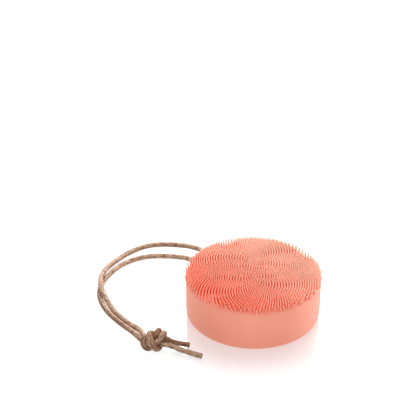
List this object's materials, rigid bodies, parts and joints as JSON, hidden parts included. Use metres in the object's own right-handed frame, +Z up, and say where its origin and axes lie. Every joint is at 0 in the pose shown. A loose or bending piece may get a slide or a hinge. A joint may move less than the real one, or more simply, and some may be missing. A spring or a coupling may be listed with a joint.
{
  "type": "facial cleansing brush",
  "caption": "Round silicone facial cleansing brush with a spiral field of soft bristles on top, a button underneath and a knotted hanging cord.",
  "frame": {"origin": "middle of the flat underside that the brush rests on", "axes": "+Z up through the bristles, +Y towards the side where the hanging cord leaves, +X towards the charging pinhole"},
  "size_m": [0.1303, 0.1601, 0.0338],
  "materials": {
    "silicone_cover": "matte moulded silicone",
    "back_plastic": "matte soft-touch",
    "cord_fibre": "waxed, slightly fibrous",
    "shell_plastic": "moulded",
    "clear_plastic": "clear, polished",
    "seal_rubber": "matte",
    "steel": "plated",
    "brass": "turned",
    "circuit_board": "solder mask",
    "black_plastic": "moulded",
    "component_tan": "matte",
    "white_plastic": "moulded",
    "foam": "open foam",
    "battery_foil": "satin foil",
    "wire_red": "insulation",
    "wire_black": "insulation"
  },
  "bodies": {
    "body": {"bristle_cover": "silicone_cover", "back_cover": "back_plastic", "shell_base": "shell_plastic", "shell_top": "shell_plastic", "shell_gasket": "seal_rubber", "button_seal": "seal_rubber", "light_pipe": "clear_plastic", "shell_screw_1": "steel", "shell_screw_2": "steel", "shell_screw_3": "steel", "shell_screw_4": "steel", "circuit_board": "circuit_board", "board_screw_1": "steel", "board_screw_2": "steel", "board_screw_3": "steel", "board_screw_4": "steel", "controller_chip": "black_plastic", "charger_chip": "black_plastic", "inductor": "component_tan", "capacitor_1": "component_tan", "capacitor_2": "component_tan", "status_light": "white_plastic", "battery_connector": "white_plastic", "tact_switch": "black_plastic", "battery_pad": "foam", "battery": "battery_foil", "battery_wire_red": "wire_red", "battery_wire_black": "wire_black", "charging_jack": "black_plastic", "jack_pin": "brass", "jack_seal": "seal_rubber", "motor_can": "steel", "motor_end_cap": "black_plastic", "motor_sleeve": "seal_rubber", "motor_strap": "shell_plastic", "motor_screw_1": "steel", "motor_screw_2": "steel", "motor_wire_red": "wire_red", "motor_wire_black": "wire_black", "cord_post": "shell_plastic", "cord_inner_bend": "cord_fibre", "cord_strand_a": "cord_fibre", "cord_strand_b": "cord_fibre", "cord_knot": "cord_fibre", "cord_tail_a": "cord_fibre", "cord_tail_b": "cord_fibre"},
    "button": {"power_button": "back_plastic"},
    "plunger": {"switch_plunger": "white_plastic"},
    "rotor": {"motor_shaft": "steel", "eccentric_weight": "brass"}
  },
  "joints": [
    {"name": "power_button_press", "type": "slide", "parent": "body", "child": "button", "axis": [0, 0, 1], "range_m": [0, 0.0005], "stiffness_N_per_m": 1500},
    {"name": "switch_plunger_press", "type": "slide", "parent": "body", "child": "plunger", "axis": [0, 0, 1], "range_m": [0, 0.0005]},
    {"name": "motor_spin", "type": "hinge", "parent": "body", "child": "rotor", "pos_m": [0, -0.022, 0.0136], "axis": [1, 0, 0], "continuous": true}
  ],
  "couplings": [
    {"joint": "switch_plunger_press", "follows": "power_button_press", "ratio": 1}
  ]
}
